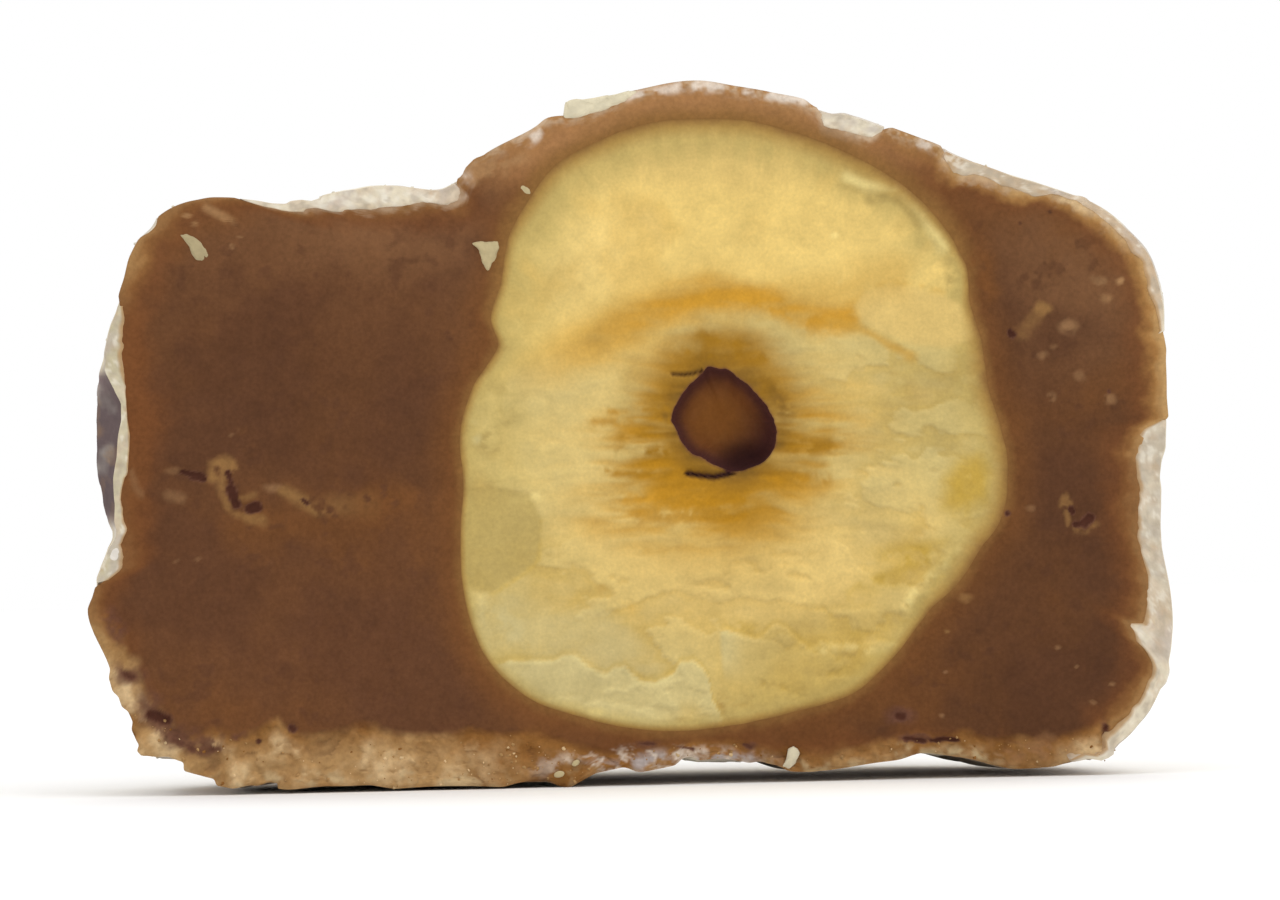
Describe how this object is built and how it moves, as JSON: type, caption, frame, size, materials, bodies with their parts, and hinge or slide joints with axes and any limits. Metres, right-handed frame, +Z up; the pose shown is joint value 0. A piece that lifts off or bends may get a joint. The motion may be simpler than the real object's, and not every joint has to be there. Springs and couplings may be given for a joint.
{
  "type": "gianduja truffle half",
  "caption": "Soft hazelnut and cocoa truffle cut in half, with the cut hazelnut kernel showing in its brown core and a thin uneven sugar coat round the outside.",
  "frame": {"origin": "middle of the flat underside, half way between the cut face and the back", "axes": "+X along the width of the cut face, to the right as the cut face is looked at; +Y from the cut face to the back; +Z up"},
  "size_m": [0.0261, 0.0111, 0.0169],
  "materials": {
    "gianduja": "smooth waxy chocolate paste, satin",
    "hazelnut": "cut nut flesh, faintly fibrous, satin",
    "sugar_coat": "dry powdery sugar, matt"
  },
  "bodies": {
    "root": {"gianduja": "gianduja", "hazelnut": "hazelnut", "sugar_coat": "sugar_coat"}
  },
  "joints": []
}
